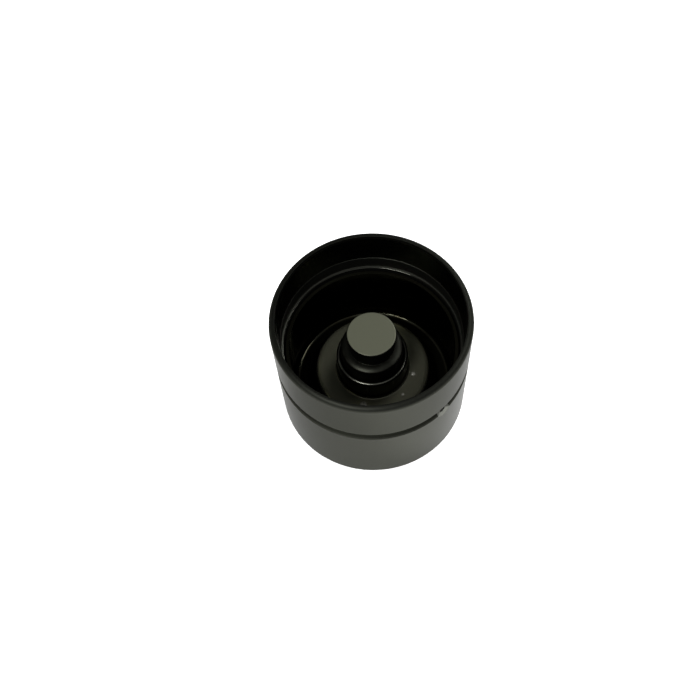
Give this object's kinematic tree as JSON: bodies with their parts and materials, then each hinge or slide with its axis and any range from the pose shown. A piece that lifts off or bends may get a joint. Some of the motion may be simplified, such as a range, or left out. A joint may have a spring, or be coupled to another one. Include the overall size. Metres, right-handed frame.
{
  "type": "hydraulic valve lifter",
  "caption": "Hydraulic bucket valve lifter: turned cup with an oil groove, pressed guide tray and a sprung inner housing with a flat stem pad.",
  "frame": {"origin": "centre of the cam face, on the lifter's axis", "axes": "+Z along the lifter's axis, from the cam face to the mouth; -Y towards the camera of the picture"},
  "size_m": [0.033, 0.033, 0.026],
  "materials": {
    "bucket_steel": "case hardened, ground, dark with a film of oil",
    "tray_steel": "drawn sheet, dark olive with a film of oil",
    "housing_steel": "ground pad, dark hardened body",
    "piston_steel": "ground",
    "ball_steel": "polished bearing ball",
    "cage_steel": "pressed sheet",
    "spring_steel": "drawn spring wire"
  },
  "bodies": {
    "bucket": {"bucket": "bucket_steel", "guide_tray": "tray_steel", "piston": "piston_steel", "ball_cage": "cage_steel", "ball_spring": "spring_steel", "return_spring": "spring_steel"},
    "inner_housing": {"inner_housing": "housing_steel", "retaining_ring": "spring_steel"},
    "check_ball": {"check_ball": "ball_steel"}
  },
  "joints": [
    {"name": "housing_slide", "type": "slide", "parent": "bucket", "child": "inner_housing", "axis": [0, 0, 1], "range_m": [-0.0023, 0], "stiffness_N_per_m": 1550, "deforming": ["return_spring"]},
    {"name": "ball_lift", "type": "slide", "parent": "bucket", "child": "check_ball", "axis": [0, 0, 1], "range_m": [0, 0.0003], "stiffness_N_per_m": 300, "deforming": ["ball_spring"]}
  ]
}
